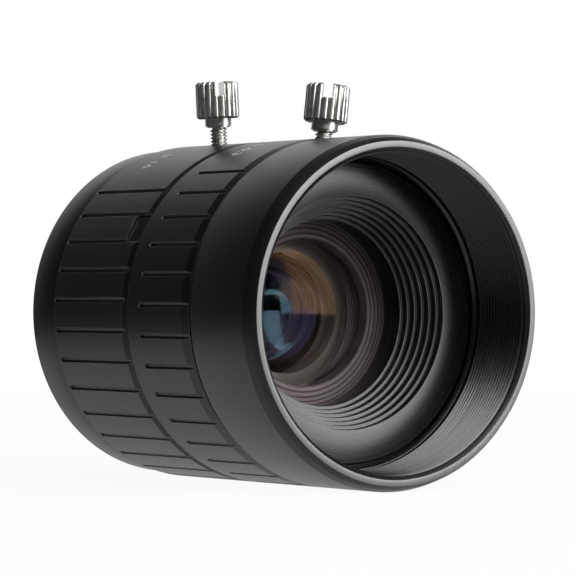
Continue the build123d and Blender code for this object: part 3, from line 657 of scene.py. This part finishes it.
# The second element's rim is coloured pale beige, a painted reflection of the name ring's flat in
# the front glass
rim_painted_flat_reflection = turned_finish(
    "rim_painted_flat_reflection", (0.6, 0.54, 0.5), (0.75, 0.68, 0.62), 0.5, lines=0.05, dust=0.2
)
amber_coat = coated_glass("amber_coated_glass", 80, 0.38)
dim_coat = coated_glass("dim_coated_glass", 100, 0.15)
mauve_coat = coated_glass("mauve_coated_glass", 104, 0.2)
teal_coat = coated_glass("teal_coated_glass", 172, 0.32)
ground_element(
    "front_element", 11.9, -28.7, -26.7, (10.4, 2.3), (7.9, -2.81), amber_coat,
    rim=rim_painted_ring_reflection("rim_painted_ring_reflection"), rear_coat=dim_coat,
)
ground_element(
    "second_element", 10.0, -25.0, -22.8, (8.6, 1.4), (7.2, -2.4), mauve_coat,
    rim=rim_painted_flat_reflection,
)
ground_element(
    "third_element", 10.0, -21.4, -19.0, (8.3, 1.6), (7.4, 0.47), teal_coat
)
spacer_black = turned_finish(
    "spacer_black", (0.02, 0.018, 0.016), (0.03, 0.027, 0.024), 0.45, lines=0.2, dust=0.05
)
dress(["middle_spacer"], spacer_black)
spacer_front = -26.7
ridge_run = 0.42
ridge_length = 0.425
baffle = []
for step in range(4):
    outer = 9.9 - ridge_run * step
    start = spacer_front + ridge_length * step
    baffle += [(outer, start), (outer - 0.02, start + ridge_length)]
spacer = turned([(10.0, spacer_front)] + baffle + [(10.0, -25.0)], 0.01)
# The front spacer is black anodised; its mauve-bronze colour is a painted reflection, as seen
# through the coated glass in front of it
spacer_painted_reflection = turned_finish(
    "spacer_painted_reflection", (0.32, 0.25, 0.27), (0.45, 0.36, 0.38), 0.35, lines=0.2, dust=0.3
)
finished(spacer, "front_spacer_turned", spacer_painted_reflection, "cell", ["front_spacer"])

# Iris
# Six thin spring-steel blades, blackened, between a base ring and a slotted drive ring. A
# brass pin carries the turn of the iris ring in to the drive ring.
blade_black = metal_finish("blade_black", (0.04, 0.04, 0.042), 0.42)
dress(["iris_blade_%d" % number for number in range(1, 7)], blade_black)
dress(["iris_base_ring", "iris_drive_ring"], spacer_black)
dress(["iris_drive_pin"], brass)

# Rear group
# Black cell screwed in from behind, with a cemented pair, two single elements, two spacers
# and a slotted ring that holds them.
dress(["rear_cell", "rear_spacer", "last_spacer", "rear_retaining_ring"], inner_black)
for name, front, rear, front_dome, rear_dome, coat, slot in (
    ("fourth_element", -14.25, -10.56, (6.8, -1.2), (7.4, 1.6), teal_coat, "inner_glass"),
    ("fifth_element", -10.55, -9.75, (7.4, -1.6), (7.2, 1.5), mauve_coat, "inner_glass"),
    ("sixth_element", -6.95, -5.55, (7.2, 1.0), (7.2, 0.5), mauve_coat, "inner_glass"),
    ("seventh_element", -4.15, -2.55, (7.0, 0.6), (6.6, -0.4), amber_coat, "coated_glass"),
):
    ground_element(name, 8.0, front, rear, front_dome, rear_dome, coat)

# Floor, light and camera
# Plain pale floor in a white surround, seen from a little above its level. One large soft lamp
# hangs overhead and two stand in front, one high and one to the right.
floor_shape = bmesh.new()
bmesh.ops.create_grid(floor_shape, x_segments=1, y_segments=1, size=3)
bmesh.ops.translate(floor_shape, verts=floor_shape.verts[:], vec=(0, 0, -19.52 * MM))
floor_mesh = bpy.data.meshes.new("floor")
floor_shape.to_mesh(floor_mesh)
floor_shape.free()
floor = new_object("floor", floor_mesh)

pale, tree, shader = new_material("pale_floor", 0.9, specular=0.1)
place = object_place(tree)
tone = remapped(tree, noise(tree, place, 30, 3), 0.0, 1.0, 0.78, 0.82)
tree.links.new(tone, shader.inputs["Base Color"])
away = made_node(tree, "ShaderNodeVectorMath", {0: place}, operation="LENGTH").outputs["Value"]
light_path = made_node(tree, "ShaderNodeLightPath").outputs
seen = light_path["Is Camera Ray"]
# Near the lens the floor keeps its shadow. Seen in reflections and through glass the floor glows
# instead, as a painted pool of light, brightest near the lens and fading out round about
bright = computed(tree, "MAXIMUM", seen, remapped(tree, away, 0.04, 0.16, 0.72, 0.06))
glow = made_node(tree, "ShaderNodeEmission", {"Color": bright, "Strength": 1.0})
direct = computed(tree, "MULTIPLY", seen, remapped(tree, away, 0.1, 0.4, 0.95, 1.0))
mirrored = computed(
    tree, "MAXIMUM", light_path["Is Glossy Ray"], light_path["Is Transmission Ray"]
)
share = computed(tree, "MAXIMUM", direct, mirrored)
blend = made_node(
    tree, "ShaderNodeMixShader", {0: share, 1: shader.outputs[0], 2: glow.outputs[0]}
)
tree.links.new(blend.outputs[0], tree.nodes["Material Output"].inputs["Surface"])
floor_mesh.materials.append(pale)

view_direction = (0.5675, 0.8234, 0.0)
world = bpy.data.worlds.new("surround")
bpy.context.scene.world = world
world.use_nodes = True
tree = world.node_tree
tree.nodes.clear()
toward = made_node(tree, "ShaderNodeTexCoord").outputs["Generated"]
behind = made_node(
    tree, "ShaderNodeVectorMath", {0: toward, 1: view_direction}, operation="DOT_PRODUCT"
).outputs["Value"]
backdrop = remapped(tree, behind, 0.55, 0.93, 0.035, 1.0, interpolation_type="SMOOTHSTEP")
room = made_node(tree, "ShaderNodeBackground", {"Color": backdrop, "Strength": 1.0})
white = made_node(tree, "ShaderNodeBackground", {"Color": (1, 1, 1, 1), "Strength": 1.0})
seen = made_node(tree, "ShaderNodeLightPath").outputs["Is Camera Ray"]
both = made_node(
    tree, "ShaderNodeMixShader", {0: seen, 1: room.outputs[0], 2: white.outputs[0]}
)
made_node(tree, "ShaderNodeOutputWorld", {"Surface": both.outputs[0]})


def soft_lamp(name, place, target, width, height, radiance):
    """Large flat lamp that faces the target, as bright as a surface of that radiance."""
    lamp = bpy.data.lights.new(name, "AREA")
    lamp.shape = "RECTANGLE"
    lamp.size = width
    lamp.size_y = height
    lamp.energy = radiance * math.pi * width * height
    held = new_object(name, lamp)
    held.location = place
    toward_target = Vector(target) - Vector(place)
    held.rotation_euler = toward_target.to_track_quat("-Z", "Y").to_euler()


soft_lamp("overhead_lamp", (0, 0, 0.8), (0, -0.02, 0), 0.8, 0.8, 0.15)
soft_lamp("high_front_lamp", (0.1, -0.62, 0.53), (0, -0.04, 0), 0.8, 0.4, 7.0)
soft_lamp("right_front_lamp", (0.37, -0.58, 0.18), (0, -0.04, 0), 0.4, 0.4, 6.0)

lens_view = bpy.data.cameras.new("camera")
lens_view.lens = 213.8
lens_view.sensor_width = 36
lens_view.clip_start = 0.01
camera = new_object("camera", lens_view)
camera.location = (-220.85 * MM, -345.0 * MM, 2.77 * MM)
camera.rotation_euler = (math.radians(90), 0, math.radians(-34.58))
bpy.context.scene.camera = camera
bpy.context.scene.view_settings.view_transform = "Standard"
